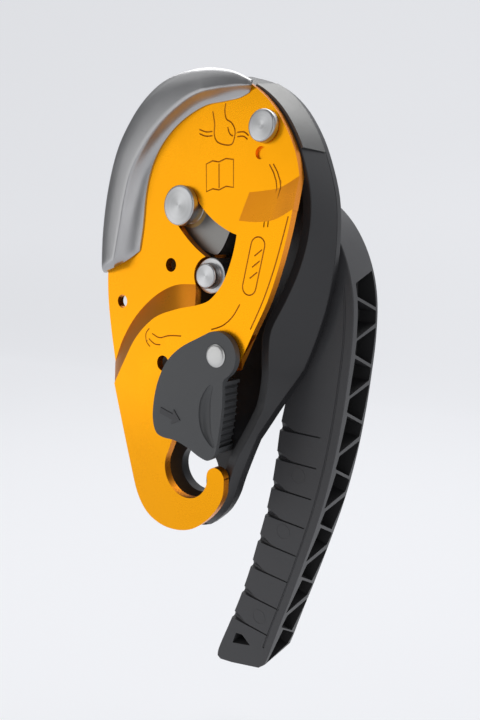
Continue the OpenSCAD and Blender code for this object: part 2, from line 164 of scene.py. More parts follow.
def lathe(name: str, centre: Point2, profile: Sequence[Point2], segments: int = 96) -> bpy.types.Object:
    """Turns a profile about an axis along Y.

    Args:
        name: The new object's name.
        centre: Where the axis is, as x and z.
        profile: Pairs of radius and depth, from the axis at the front to the axis at the rear.
        segments: How many steps the turn has.
    Returns:
        The turned object.
    """
    bm = bmesh.new()
    for r, y in profile:
        bm.verts.new((centre[0] + r, y, centre[1]))
    verts = list(bm.verts)
    edges = [bm.edges.new(pair) for pair in zip(verts, verts[1:])]
    bmesh.ops.spin(bm, geom=verts + edges, cent=(centre[0], 0, centre[1]), axis=(0, 1, 0),
                   angle=2 * math.pi, steps=segments, use_merge=True, use_duplicate=False)
    bmesh.ops.remove_doubles(bm, verts=bm.verts, dist=1e-4)
    return from_bmesh(name, bm)


def baked(piece: bpy.types.Object) -> bpy.types.Object:
    """Applies every modifier on the piece and removes them.

    Args:
        piece: The piece to change.
    Returns:
        The same piece, with a plain mesh.
    """
    evaluated = piece.evaluated_get(bpy.context.evaluated_depsgraph_get())
    mesh = bpy.data.meshes.new_from_object(evaluated)
    piece.modifiers.clear()
    piece.data = mesh
    return piece


def rounded(piece: bpy.types.Object, width: float, segments: int = 3, angle: float = 30) -> bpy.types.Object:
    """Rounds the piece's sharp edges.

    Args:
        piece: The piece to change.
        width: The rounding's width in millimetres.
        segments: How many faces lie across the rounding.
        angle: Edges that turn by more than this many degrees are rounded.
    Returns:
        The same piece.
    """
    bevel = piece.modifiers.new("rounding", "BEVEL")
    bevel.width = width * MM
    bevel.segments = segments
    bevel.limit_method = "ANGLE"
    bevel.angle_limit = math.radians(angle)
    bevel.use_clamp_overlap = True
    bevel.miter_outer = "MITER_ARC"
    return baked(piece)


def carved(piece: bpy.types.Object, cutter: bpy.types.Object,
           operation: str = "DIFFERENCE") -> bpy.types.Object:
    """Cuts the cutter out of the piece, or joins it on, and removes the cutter.

    Args:
        piece: The piece to change.
        cutter: The object that is cut out or joined on.
        operation: DIFFERENCE to cut, UNION to join.
    Returns:
        The same piece.
    """
    cut = piece.modifiers.new("cut", "BOOLEAN")
    cut.operation = operation
    cut.solver = "EXACT"
    cut.material_mode = "TRANSFER"
    cut.object = cutter
    baked(piece)
    bpy.data.objects.remove(cutter)
    return piece


def joined(name: str, pieces: Sequence[bpy.types.Object]) -> bpy.types.Object:
    """Puts several objects' meshes into one new object and removes them.

    Args:
        name: The new object's name.
        pieces: The objects to join.
    Returns:
        The new object.
    """
    bm = bmesh.new()
    for piece in pieces:
        bm.from_mesh(piece.data)
        bpy.data.objects.remove(piece)
    mesh = bpy.data.meshes.new(name)
    bm.to_mesh(mesh)
    bm.free()
    return new_object(name, mesh)


def shaded(piece: bpy.types.Object, angle: float = 32) -> bpy.types.Object:
    """Shades the piece smooth, apart from its sharp edges.

    Args:
        piece: The piece to change.
        angle: Edges that turn by more than this many degrees stay sharp.
    Returns:
        The same piece.
    """
    piece.data.shade_smooth()
    piece.data.set_sharp_from_angle(angle=math.radians(angle))
    weighted = piece.modifiers.new("weighted", "WEIGHTED_NORMAL")
    weighted.mode = "FACE_AREA"
    weighted.weight = 80
    weighted.keep_sharp = True
    return baked(piece)


def cad_copy(node: str, name: str, flat: float = 0.6) -> bpy.types.Object:
    """Copies a CAD node's mesh, merges its corners and joins its flat faces.

    Args:
        node: The node's name.
        name: The new object's name.
        flat: Faces that turn by less than this many degrees become one.
    Returns:
        The new object, at the origin.
    """
    bm = bmesh.new()
    bm.from_mesh(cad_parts[node].data)
    bmesh.ops.remove_doubles(bm, verts=bm.verts, dist=2e-6)
    bmesh.ops.dissolve_limit(bm, angle_limit=math.radians(flat), verts=bm.verts, edges=bm.edges)
    mesh = bpy.data.meshes.new(name)
    bm.to_mesh(mesh)
    bm.free()
    return new_object(name, mesh)


def tube_along(name: str, path: Sequence[Point3], radius: float, closed: bool = False) -> bpy.types.Object:
    """Makes a round tube along a path.

    Args:
        name: The new object's name.
        path: The tube's middle, in millimetres.
        radius: The tube's radius in millimetres.
        closed: True where the path's end joins its start.
    Returns:
        The tube.
    """
    curve = bpy.data.curves.new(name, "CURVE")
    curve.dimensions = "3D"
    spline = curve.splines.new("POLY")
    spline.points.add(len(path) - 1)
    for point, place in zip(spline.points, path):
        point.co = (*(c * MM for c in place), 1)
    spline.use_cyclic_u = closed
    curve.bevel_depth = radius * MM
    curve.bevel_resolution = 2
    curve.use_fill_caps = True
    source = bpy.data.objects.new(name, curve)
    bpy.context.scene.collection.objects.link(source)
    mesh = bpy.data.meshes.new_from_object(source.evaluated_get(bpy.context.evaluated_depsgraph_get()))
    bpy.data.objects.remove(source)
    return new_object(name, mesh)


# ------------------------------------------------------------------ shader maths
class Socket:
    """An output of a material's node, on which Python's operators add Math nodes."""

    def __init__(self, paint: "Paint", link: bpy.types.NodeSocket) -> None:
        """Wraps a node's output in the material that paint builds."""
        self.paint = paint
        self.link = link

    def _math(self, operation: str, a: Any, b: Any) -> "Socket":
        """Adds a Math node on two values."""
        return self.paint.node("ShaderNodeMath", {"operation": operation}, {0: a, 1: b})

    def __add__(self, other: Any) -> "Socket":
        """Adds."""
        return self._math("ADD", self, other)

    def __radd__(self, other: Any) -> "Socket":
        """Adds, from the right."""
        return self._math("ADD", other, self)

    def __sub__(self, other: Any) -> "Socket":
        """Subtracts."""
        return self._math("SUBTRACT", self, other)

    def __rsub__(self, other: Any) -> "Socket":
        """Subtracts this from the other."""
        return self._math("SUBTRACT", other, self)

    def __mul__(self, other: Any) -> "Socket":
        """Multiplies."""
        return self._math("MULTIPLY", self, other)

    def __rmul__(self, other: Any) -> "Socket":
        """Multiplies, from the right."""
        return self._math("MULTIPLY", other, self)

    def __pow__(self, other: Any) -> "Socket":
        """Raises to a power."""
        return self._math("POWER", self, other)

    def __rpow__(self, other: Any) -> "Socket":
        """Raises the other to this power."""
        return self._math("POWER", other, self)


class Paint:
    """Builds one material's nodes."""

    def __init__(self, name: str) -> None:
        """Starts a material with only an output node.

        Args:
            name: The material's name.
        """
        self.material = bpy.data.materials.new(name)
        self.material.use_nodes = True
        self.tree = self.material.node_tree
        self.tree.nodes.clear()
        self.output = self.tree.nodes.new("ShaderNodeOutputMaterial")

    def node(self, kind: str, settings: dict[str, Any] | None = None, inputs: dict[Any, Any] | None = None,
             out: Any = 0) -> Socket:
        """Adds a node.

        Args:
            kind: The node's type.
            settings: Its properties, which are set first.
            inputs: Values or sockets for its inputs, by name or number.
            out: Which output is wanted, by name or number.
        Returns:
            The wanted output.
        """
        made = self.tree.nodes.new(kind)
        for key, value in (settings or {}).items():
            if key == "stops":
                self._set_stops(made.color_ramp, value)
            else:
                setattr(made, key, value)
        for key, value in (inputs or {}).items():
            if isinstance(value, Socket):
                self.tree.links.new(value.link, made.inputs[key])
            else:
                made.inputs[key].default_value = value
        return Socket(self, made.outputs[out])

    @staticmethod
    def _set_stops(ramp: bpy.types.ColorRamp, stops: Sequence[tuple[float, Any]]) -> None:
        """Gives a colour ramp its stops, as pairs of place and colour or grey value."""
        while len(ramp.elements) < len(stops):
            ramp.elements.new(0.5)
        for element, (place, value) in zip(ramp.elements, stops):
            element.position = place
            element.color = (value, value, value, 1) if isinstance(value, (int, float)) else (*value, 1)

    def place(self) -> Socket:
        """The surface's place in the object's own metres."""
        return self.node("ShaderNodeTexCoord", out="Object")

    def mapped(self, vector: Socket, scale: Point3, offset: Point3 = (0, 0, 0)) -> Socket:
        """Scales a place and moves it."""
        return self.node("ShaderNodeMapping", None, {"Vector": vector, "Location": offset, "Scale": scale})

    def noise(self, vector: Socket, scale: float, detail: float = 2.0, roughness: float = 0.5) -> Socket:
        """Adds a noise whose scale is per metre."""
        return self.node("ShaderNodeTexNoise", None,
                         {"Vector": vector, "Scale": scale, "Detail": detail, "Roughness": roughness})

    def ramp(self, value: Socket, stops: Sequence[tuple[float, Any]]) -> Socket:
        """Maps a value through colour stops."""
        return self.node("ShaderNodeValToRGB", {"stops": stops}, {0: value})

    def blend(self, factor: Any, a: Any, b: Any) -> Socket:
        """Mixes two colours."""
        a, b = ((*c, 1) if isinstance(c, tuple) and len(c) == 3 else c for c in (a, b))
        return self.node("ShaderNodeMix", {"data_type": "RGBA"}, {0: factor, 6: a, 7: b}, out=2)

    def bump(self, height: Socket, strength: float, distance: float = 0.03) -> Socket:
        """Turns a height of that many millimetres into a normal."""
        return self.node("ShaderNodeBump", None, {
            "Height": height, "Strength": strength, "Distance": distance * MM})

    def finish(self, **inputs: Any) -> bpy.types.Material:
        """Ends the material with a Principled shader that has those inputs."""
        named = {key.replace("_", " "): value for key, value in inputs.items()}
        shader = self.node("ShaderNodeBsdfPrincipled", None, named, out=0)
        self.tree.links.new(shader.link, self.output.inputs[0])
        return self.material


class Grain(Enum):
    """How a metal's surface was worked, with the grain's scale per metre."""

    BEAD = 4200
    TURNED = 1100
    BRUSHED = 2600
    CAST = 1500


@dataclass(frozen=True)
class MetalFinish:
    """A bare or anodised metal surface.

    Slope is painted shade, a darker colour where the surface leans away from the front; centre is a turned
    part's axis.
    """

    name: str
    colour: Colour
    rough: float
    grain: Grain = Grain.BEAD
    metallic: float = 1.0
    variation: float = 0.06
    bump: float = 0.25
    # Painted shade colour for surfaces that lean away from the front, such as ramps and rounded edges.
    slope: Colour | None = None
    centre: Point2 = (0, 0)
    # Turns the painted highlight fans on a turned end.
    highlight_fan_turn: float = 1.2

    def material(self) -> bpy.types.Material:
        """Builds the metal's material."""
        paint = Paint(self.name)
        place = paint.place()
        cloud = paint.noise(place, 60, 3)
        fine = self._grain(paint, place)
        # Turned ends mix their rings with painted highlight fans; other metals take a random tone.
        tone_and_highlight = fine * 0.4 + self._painted_fan_highlight(paint, place) * 0.6 if self.grain is Grain.TURNED else cloud
        base = paint.blend(tone_and_highlight, tuple(c * (1 - self.variation) for c in self.colour),
                           tuple(min(1.0, c * (1 + self.variation)) for c in self.colour))
        # Painted shade: where the surface leans away from the front, the colour turns to the darker slope
        # colour.
        if self.slope is not None:
            base = paint.blend(self._slope_shade_mask(paint), base, self.slope)
        rough = self.rough + (cloud - 0.5) * 0.16 + (fine - 0.5) * 0.10
        return paint.finish(Base_Color=base, Metallic=self.metallic, Roughness=rough,
                            Normal=paint.bump(fine, self.bump))

    @staticmethod
    def _slope_shade_mask(paint: Paint) -> Socket:
        """The mask of the painted slope shade: white where the surface leans away from the front, black where
        it faces it.
        """
        normal = paint.node("ShaderNodeTexCoord", out="Normal")
        across = paint.node("ShaderNodeSeparateXYZ", None, {0: normal}, out="Y")
        return paint.ramp(across * across, [(0.62, 1.0), (0.94, 0.0)])

    def _centred(self, paint: Paint, place: Socket) -> Socket:
        """The place as seen from the part's own axis."""
        return paint.mapped(place, (1, 0, 1), (-self.centre[0] * MM, 0, -self.centre[1] * MM))

    def _painted_fan_highlight(self, paint: Paint, place: Socket) -> Socket:
        """Paints bright and dark fans on a flat turned end: a painted highlight in place of the reflection
        that its turning gives.

        Args:
            paint: The material that takes the nodes.
            place: The surface's place.
        Returns:
            The painted highlight fans, from 0 to 1.
        """
        centred = self._centred(paint, place)
        x, z = (paint.node("ShaderNodeSeparateXYZ", None, {0: centred}, out=axis) for axis in ("X", "Z"))
        turn = paint.node("ShaderNodeMath", {"operation": "ARCTAN2"}, {0: x, 1: z})
        wave = paint.node("ShaderNodeMath", {"operation": "COSINE"}, {0: turn * 2 - self.highlight_fan_turn})
        return wave * 0.5 + 0.5

    def _grain(self, paint: Paint, place: Socket) -> Socket:
        """Makes the fine height of the surface.

        Args:
            paint: The material that takes the nodes.
            place: The surface's place.
        Returns:
            The height, from 0 to 1.
        """
        scale = self.grain.value
        if self.grain is Grain.BEAD:
            return paint.noise(place, scale, 2, 0.6)
        if self.grain is Grain.CAST:
            return paint.noise(place, scale, 4, 0.6)
        if self.grain is Grain.BRUSHED:
            return paint.noise(paint.mapped(place, (1, 1, 0.06)), scale, 3, 0.6)
        radius = paint.node("ShaderNodeVectorMath", {"operation": "LENGTH"}, {0: self._centred(paint, place)},
                            out="Value")
        return paint.node("ShaderNodeTexNoise", {"noise_dimensions": "1D"},
                          {"W": radius, "Scale": scale, "Detail": 2.0})


@dataclass(frozen=True)
class NylonFinish:
    """Moulded glass-filled nylon."""

    name: str
    colour: Colour
    rough: float = 0.5
    grain_scale: float = 2600
    bump: float = 0.35

    def material(self) -> bpy.types.Material:
        """Builds the plastic's material."""
        paint = Paint(self.name)
        place = paint.place()
        grain = paint.noise(place, self.grain_scale, 3, 0.6)
        cloud = paint.noise(place, 90, 3)
        base = paint.blend(cloud, tuple(c * 0.88 for c in self.colour), tuple(c * 1.14 for c in self.colour))
        rough = self.rough + (cloud - 0.5) * 0.14 + (grain - 0.5) * 0.08
        return paint.finish(Base_Color=base, Roughness=rough, Normal=paint.bump(grain, self.bump))


# ------------------------------------------------------------------ geometry nodes
class Build:
    """Builds one Geometry Nodes tree with named inputs."""

    def __init__(self, name: str) -> None:
        """Starts an empty tree that takes and gives geometry.

        Args:
            name: The tree's name.
        """
        self.tree = bpy.data.node_groups.new(name, "GeometryNodeTree")
        self.tree.interface.new_socket("Geometry", in_out="INPUT", socket_type="NodeSocketGeometry")
        self.tree.interface.new_socket("Geometry", in_out="OUTPUT", socket_type="NodeSocketGeometry")
        self.start = self.tree.nodes.new("NodeGroupInput")
        self.end = self.tree.nodes.new("NodeGroupOutput")

    def size(self, name: str, kind: str = "NodeSocketFloat") -> bpy.types.NodeSocket:
        """Adds a named input and gives its socket."""
        self.tree.interface.new_socket(name, in_out="INPUT", socket_type=kind)
        return self.start.outputs[name]

    def node(self, kind: str, settings: dict[str, Any] | None = None, inputs: dict[Any, Any] | None = None,
             out: Any = 0) -> bpy.types.NodeSocket:
        """Adds a node.

        Args:
            kind: The node's type.
            settings: Its properties, which are set first.
            inputs: Values or sockets for its inputs.
            out: Which output is wanted.
        Returns:
            The wanted output's socket.
        """
        made = self.tree.nodes.new(kind)
        for key, value in (settings or {}).items():
            setattr(made, key, value)
        for key, value in (inputs or {}).items():
            if isinstance(value, bpy.types.NodeSocket):
                self.tree.links.new(value, made.inputs[key])
            else:
                made.inputs[key].default_value = value
        return made.outputs[out]

    def close(self, geometry: bpy.types.NodeSocket, material: bpy.types.NodeSocket) -> None:
        """Ends the tree in Realize Instances and Set Material.

        Args:
            geometry: What the tree has made.
            material: The material for all of it.
        """
        real = self.node("GeometryNodeRealizeInstances", None, {"Geometry": geometry})
        dressed = self.node("GeometryNodeSetMaterial", None, {"Geometry": real, "Material": material})
        self.tree.links.new(dressed, self.end.inputs[0])

    def run(self, name: str, mesh: bpy.types.Mesh, values: dict[str, Any]) -> bpy.types.Object:
        """Runs the tree on a mesh and gives the result as a plain object.

        Args:
            name: The new object's name.
            mesh: The mesh that the tree takes.
            values: The inputs' values by name.
        Returns:
            An object with a plain mesh and no modifier.
        """
        piece = new_object(name, mesh)
        modifier = piece.modifiers.new("build", "NODES")
        modifier.node_group = self.tree
        for item in self.tree.interface.items_tree:
            if item.in_out == "INPUT" and item.name in values:
                modifier[item.identifier] = values[item.name]
        return baked(piece)


def points_mesh(name: str, places: Iterable[Point3], linked: bool = False) -> bpy.types.Mesh:
    """Makes a mesh of points.

    Args:
        name: The mesh's name.
        places: The points, in millimetres.
        linked: True where an edge joins each point to the next.
    Returns:
        The mesh.
    """
    verts = [tuple(c * MM for c in place) for place in places]
    edges = [(i, i + 1) for i in range(len(verts) - 1)] if linked else []
    mesh = bpy.data.meshes.new(name)
    mesh.from_pydata(verts, edges, [])
    return mesh


def coil_tree() -> Build:
    """A helix of round wire at each point, with its axis along Y."""
    build = Build("wire_coil")
    turns, radius, height, wire = (build.size(n) for n in ("Turns", "Radius", "Height", "Wire"))
    material = build.size("Material", "NodeSocketMaterial")
    spiral = build.node("GeometryNodeCurveSpiral", None, {
        "Resolution": 40, "Rotations": turns, "Start Radius": radius, "End Radius": radius, "Height": height})
    wire_ring = build.node("GeometryNodeCurvePrimitiveCircle", None, {"Resolution": 10, "Radius": wire})
    coil = build.node("GeometryNodeCurveToMesh", None, {"Curve": spiral, "Profile Curve": wire_ring,
                                                        "Fill Caps": True})
    turned = build.node("GeometryNodeTransform", None, {"Geometry": coil, "Rotation": (-math.pi / 2, 0, 0)})
    placed = build.node("GeometryNodeInstanceOnPoints", None, {"Points": build.start.outputs[0],
                                                               "Instance": turned})
    build.close(placed, material)
    return build


def chain_points(build: Build, mode: str) -> tuple[bpy.types.Node, bpy.types.NodeSocket]:
    """Turns the input chain of edges into points with a direction.

    Args:
        build: The tree that takes the nodes.
        mode: COUNT for evenly spaced points, EVALUATED for one at each corner.
    Returns:
        The node that gives the points, and the direction back along the chain.
    """
    line = build.node("GeometryNodeMeshToCurve", None, {"Mesh": build.start.outputs[0]})
    points = build.node("GeometryNodeCurveToPoints", {"mode": mode}, {"Curve": line}).node
    back = build.node("ShaderNodeVectorMath", {"operation": "SCALE"},
                      {0: points.outputs["Tangent"], "Scale": -1.0})
    return points, back


def repeat_tree() -> Build:
    """Copies of a model along the input chain of edges, evenly spaced and turned along it."""
    build = Build("repeat_along")
    model = build.size("Model", "NodeSocketObject")
    count = build.size("Count", "NodeSocketInt")
    material = build.size("Material", "NodeSocketMaterial")
    even, back = chain_points(build, "COUNT")
    build.tree.links.new(count, even.inputs["Count"])
    shape = build.node("GeometryNodeObjectInfo", None, {"Object": model}, out="Geometry")
    turn = build.node("FunctionNodeAlignRotationToVector", {"axis": "Z", "pivot_axis": "Y"}, {"Vector": back})
    placed = build.node("GeometryNodeInstanceOnPoints", None,
                        {"Points": even.outputs["Points"], "Instance": shape, "Rotation": turn})
    build.close(placed, material)
    return build


def at_corners_tree() -> Build:
    """A copy of a model at each corner of the input chain.

    Follow is how much the copies lean with the chain; Slant and Grow turn and stretch each one a bit more.
    """
    build = Build("at_corners")
    model = build.size("Model", "NodeSocketObject")
    follow, slant, grow = (build.size(n) for n in ("Follow", "Slant", "Grow"))
    material = build.size("Material", "NodeSocketMaterial")
    corners, back = chain_points(build, "EVALUATED")
    shape = build.node("GeometryNodeObjectInfo", None, {"Object": model}, out="Geometry")
    lean = build.node("ShaderNodeMix", {"data_type": "VECTOR"}, {0: follow, 4: (0, 0, 1), 5: back}, out=1)
    turn = build.node("FunctionNodeAlignRotationToVector", {"axis": "Z", "pivot_axis": "Y"}, {"Vector": lean})
    number = build.node("GeometryNodeInputIndex")
    angle = build.node("ShaderNodeMath", {"operation": "MULTIPLY"}, {0: number, 1: slant})
    about_x = build.node("ShaderNodeCombineXYZ", None, {"X": angle})
    tilt = build.node("FunctionNodeEulerToRotation", None, {0: about_x})
    both = build.node("FunctionNodeRotateRotation", {"rotation_space": "LOCAL"}, {0: turn, 1: tilt})
    tall = build.node("ShaderNodeMath", {"operation": "MULTIPLY_ADD"}, {0: number, 1: grow, 2: 1.0})
    scale = build.node("ShaderNodeCombineXYZ", None, {"X": 1.0, "Y": 1.0, "Z": tall})
    placed = build.node("GeometryNodeInstanceOnPoints", None, {
        "Points": corners.outputs["Points"], "Instance": shape, "Rotation": both, "Scale": scale})
    build.close(placed, material)
    return build


def scatter_tree() -> Build:
    """A copy of a model at each input point, unturned."""
    build = Build("at_points")
    model = build.size("Model", "NodeSocketObject")
    material = build.size("Material", "NodeSocketMaterial")
    shape = build.node("GeometryNodeObjectInfo", None, {"Object": model}, out="Geometry")
    placed = build.node("GeometryNodeInstanceOnPoints", None,
                        {"Points": build.start.outputs[0], "Instance": shape})
    build.close(placed, material)
    return build


# ------------------------------------------------------------------ finishes
TURNED_STEEL = (0.50, 0.505, 0.51)


class Finish(Enum):
    """The finishes of the descender's surfaces."""

    # The plate's last colour is painted shade for its ramps and rounded edges.
    PLATE = MetalFinish("orange_anodised", (1.0, 0.395, 0.002), 0.29, Grain.BEAD, 0.92, 0.03, 0.08,
                        (0.88, 0.28, 0.008))
    LIP = MetalFinish("lip_stainless", (0.42, 0.42, 0.425), 0.34, Grain.BRUSHED, 1.0, 0.08, 0.4)
    CAM = MetalFinish("cam_casting", (0.27, 0.265, 0.255), 0.44, Grain.CAST, 1.0, 0.14, 0.5)
    ENGRAVED = MetalFinish("engraved_line", (0.50, 0.16, 0.002), 0.45, Grain.BEAD, 0.6, 0.04, 0.1)
    WALL = MetalFinish("wall_anodised", (0.020, 0.020, 0.022), 0.38, Grain.BEAD, 0.15, 0.06, 0.15)
    INSERT = MetalFinish("insert_stainless", (0.168, 0.168, 0.165), 0.46, Grain.BEAD, 1.0, 0.08, 0.4)
    BODY = MetalFinish("black_anodised", (0.020, 0.020, 0.022), 0.40, Grain.BEAD, 0.35, 0.10, 0.25)
    STEEL = MetalFinish("plain_stainless", (0.52, 0.52, 0.53), 0.34, Grain.BRUSHED, 1.0, 0.08, 0.3)
    SPRING = MetalFinish("spring_wire", (0.38, 0.38, 0.40), 0.30, Grain.BRUSHED, 1.0, 0.1, 0.2)
    BRONZE = MetalFinish("sintered_bronze", (0.58, 0.40, 0.18), 0.45, Grain.CAST, 1.0, 0.12, 0.5)
    # The turned heads' base colour carries painted highlight fans about their axes.
    AXLE = MetalFinish("axle_turned", TURNED_STEEL, 0.33, Grain.TURNED, 1.0, 0.30, 0.9, None, AXLE_AT)
    PIVOT = MetalFinish("pivot_turned", TURNED_STEEL, 0.33, Grain.TURNED, 1.0, 0.30, 0.9, None, PIVOT_AT)
    STUD = MetalFinish("stud_turned", TURNED_STEEL, 0.33, Grain.TURNED, 1.0, 0.30, 0.9, None, STUD_AT)
    GATE_PIN = MetalFinish("gate_rivet_steel", (0.56, 0.56, 0.55), 0.38, Grain.CAST, 1.0, 0.08, 0.35)
    GATE = NylonFinish("gate_nylon", (0.054, 0.056, 0.059), 0.44)
    GRIP = NylonFinish("grip_nylon", (0.040, 0.040, 0.043), 0.50)
    # Painted shade: a darker nylon for the truss windows' inner faces, where shade falls.
    GRIP_WINDOW_SHADE = NylonFinish("grip_nylon_window_shade", (0.012, 0.012, 0.013), 0.60)
    CATCH = NylonFinish("catch_nylon", (0.75, 0.26, 0.02), 0.45)
    BUTTON = NylonFinish("button_nylon", (0.40, 0.025, 0.018), 0.42)


class Palette:
    """Makes each finish's material once."""

    def __init__(self) -> None:
        """Starts with no materials."""
        self.made: dict[Finish, bpy.types.Material] = {}

    def get(self, finish: Finish) -> bpy.types.Material:
        """Gives the finish's material, made on its first use."""
        if finish not in self.made:
            self.made[finish] = finish.value.material()
        return self.made[finish]

    def dress(self, piece: bpy.types.Object, finish: Finish) -> bpy.types.Object:
        """Gives every face of the piece the finish.

        Args:
            piece: The piece to dress.
            finish: What its surface is.
        Returns:
            The same piece.
        """
        material = self.get(finish)
        if not piece.data.materials:
            piece.data.materials.append(material)
        for slot in piece.material_slots:
            slot.material = material
        return piece


@dataclass
class SubAssembly:
    """Shared work of every sub-assembly: placing, dressing and reporting its pieces."""

    palette: Palette
    body: str = "frame_body"
    pieces: list[bpy.types.Object] = field(default_factory=list)

    def add(self, piece: bpy.types.Object, finish: Finish, slot: str, nodes: Sequence[str] = (),
            body: str | None = None) -> bpy.types.Object:
        """Dresses a piece and hands it to the frame.

        Args:
            piece: The finished piece.
            finish: What its surface is.
            slot: The record's material slot; not used.
            nodes: The CAD nodes that it stands for.
            body: The body that it rides on, where that isn't the sub-assembly's own.
        Returns:
            The piece.
        """
        if not piece.data.materials:
            self.palette.dress(piece, finish)
        for material_slot in piece.material_slots:
            material_slot.material = material_slot.material or self.palette.get(finish)
        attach(piece, body or self.body)
        if nodes:
            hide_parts(*nodes)
        self.pieces.append(piece)
        LOG.info("%s: %d faces, finish %s", piece.name, len(piece.data.polygons), finish.name.lower())
        return piece

    def keep(self, node: str, finish: Finish) -> None:
        """Keeps a CAD node's shape and gives it the finish."""
        self.palette.dress(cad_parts[node], finish)
        LOG.info("%s: kept, finish %s", node, finish.name.lower())


# ------------------------------------------------------------------ moving side plate
@dataclass
class MovingPlate(SubAssembly):
    """The orange side plate with its engraved signs and its friction lip."""

    body: str = "side_plate"
    disc_face: float = -4.0
    arm_face: float = -10.3
    rounding: float = 0.7
    line_width: float = 0.24
    lip_height: float = 5.6
    lip_edge: float = 0.9

    def build(self) -> None:
        """Builds the plate and the lip, and dresses the small parts that the plate carries."""
        plate = rounded(cad_copy("moving_side_plate", "orange_side_plate"), self.rounding, 3, 25)
        self.palette.dress(plate, Finish.PLATE)
        for path in self._disc_lines():
            plate = self._engrave(plate, [(x, self.disc_face, z) for x, z in path])
        for path in self._arm_lines():
            plate = self._engrave(plate, [(x, self.arm_face, z) for x, z in path])
        for path in self._rope_lines():
            plate = self._engrave(plate, path)
        self.add(shaded(plate, 28), Finish.PLATE, "anodised_plate", ["moving_side_plate"])
        self.add(self._lip(), Finish.LIP, "lip_steel", ["friction_lip"])
        self.keep("pivot_bush", Finish.BRONZE)
        self.keep("lip_rivets", Finish.STEEL)
        self.keep("gate_washer", Finish.STEEL)

    def _engrave(self, plate: bpy.types.Object, path: Sequence[Point3]) -> bpy.types.Object:
        """Cuts a fine groove along a path on the plate's face.

        Args:
            plate: The plate.
            path: The groove's middle, in millimetres.
        Returns:
            The same plate.
        """
        closed = path[0] == path[-1]
        groove = tube_along("groove", path[:-1] if closed else path, self.line_width, closed)
        groove.data.materials.append(self.palette.get(Finish.ENGRAVED))
        return carved(plate, groove)

    @staticmethod
    def _disc_lines() -> list[list[Point2]]:
        """The signs on the disc: a gloved hand on a rope and an open book without any text."""
        hand = [(8.6, 127.8), (9.4, 123.6), (9.2, 120.2), (10.4, 117.6), (13.6, 116.2), (16.6, 116.0),
                (17.8, 118.0), (18.0, 120.6), (16.6, 123.0), (14.4, 124.6), (13.8, 127.4), (14.2, 129.6)]
        thumb = [(15.0, 121.8), (15.8, 119.6), (17.2, 118.6)]
        book = [(5.6, 110.6), (8.4, 111.4), (11.2, 110.8), (14.2, 111.6), (17.4, 111.0), (17.4, 101.8),
                (14.2, 102.4), (11.2, 101.4), (8.4, 102.0), (5.6, 101.2), (5.6, 110.6)]
        fold = [(11.2, 110.2), (11.2, 102.0)]
        ropes = ([(2.6, 122.6), (5.6, 121.4), (8.4, 121.2)], [(2.6, 121.2), (5.4, 120.0), (8.4, 119.8)],
                 [(19.0, 119.6), (21.8, 119.4), (23.6, 118.0)], [(19.0, 118.2), (21.6, 118.0), (23.2, 116.8)])
        return [smooth(hand, 4), smooth(thumb, 4), book, fold] + [smooth(rope, 4) for rope in ropes]

    @staticmethod
    def _arm_lines() -> list[list[Point2]]:
        """The raised arm's signs: a length of rope, a line along the edge and the rope's way to the hook."""
        strand = arc((31.8, 81.8), 2.7, 170, -10, 10) + arc((28.4, 68.4), 2.7, -10, -190, 10)
        strand.append(strand[0])
        twists = [[(28.6 + 0.26 * k, 71.2 + k), (31.6 + 0.26 * k, 73.2 + k)] for k in (0.0, 3.6, 7.2)]
        edge = smooth([(43.2, 90.4), (41.4, 84.4), (38.2, 74.6), (34.0, 64.2), (28.9, 54.4)], 5)
        tail = smooth([(24.6, 62.6), (21.6, 58.4), (17.4, 55.2), (12.4, 53.6)], 4)
        end = smooth([(-15.6, 50.8), (-12.0, 49.4), (-7.4, 50.4), (-1.4, 50.6)], 4)
        ends = smooth([(-17.4, 48.8), (-14.6, 47.0), (-11.6, 46.8)], 4)
        loop = smooth([(-17.0, 52.6), (-18.8, 50.6), (-18.6, 47.6), (-16.8, 45.8)], 4)
        return [strand, edge, tail, end, ends, loop] + twists

    @staticmethod
    def _rope_lines() -> list[list[Point3]]:
        """A rope's two edges, drawn from the disc over the ramp to the arm."""
        middle = [(32.7, -4, 108.0), (34.3, -4, 105.3), (35.3, -4, 102.6), (35.6, -4.1, 100.2),
                  (35.7, -6.6, 96.2), (35.5, -8.6, 93.0), (35.1, -10.2, 90.0), (34.8, -10.3, 87.4)]
        return [[(x + side, y, z) for x, y, z in middle] for side in (-0.75, 0.75)]

    def _lip(self) -> bpy.types.Object:
        """The curved steel lip on the disc's upper left edge, as a skin round sixteen-point sections."""
        outer = smooth([(25.4, 135.2), (18.4, 139), (8.8, 141.6), (-1, 142), (-11, 140.6), (-20, 136.4),
                        (-28, 129.6), (-35.6, 119.4), (-41.4, 104.6), (-44.9, 88), (-46, 73.2)], 10)
        crest = smooth([(25.8, 133.2), (20, 133.6), (14, 133.6), (5, 132.8), (-3, 130), (-11, 125.6),
                        (-18.4, 119.6), (-25.5, 111), (-29.6, 101), (-32.8, 90), (-37, 75.4)], 10)
        inner = smooth([(23.8, 131.4), (20, 130.4), (14, 130.2), (5.8, 130), (-3, 127.2), (-10, 123.2),
                        (-16, 117.6), (-20.4, 110.4), (-23.2, 101.4), (-24.8, 91), (-27, 81.5)], 10)
        sections = []
        for i in range(len(outer)):
            u = i / (len(outer) - 1)
            full = self.lip_height * (0.45 + 0.55 * min(1.0, 4 * u))
            rise = full * self._blunt(u, 26) * self._blunt(1 - u, 24)
            sections.append(self._lip_section(outer[i], crest[i], inner[i], max(rise, self.lip_edge)))
        return shaded(loft("friction_lip_skin", sections), 50)

    @staticmethod
    def _blunt(along: float, steepness: float) -> float:
        """The part of its height that the lip has near an end, as a quarter round."""
        return (1 - (1 - min(1.0, steepness * along + 0.25)) ** 2) ** 0.5

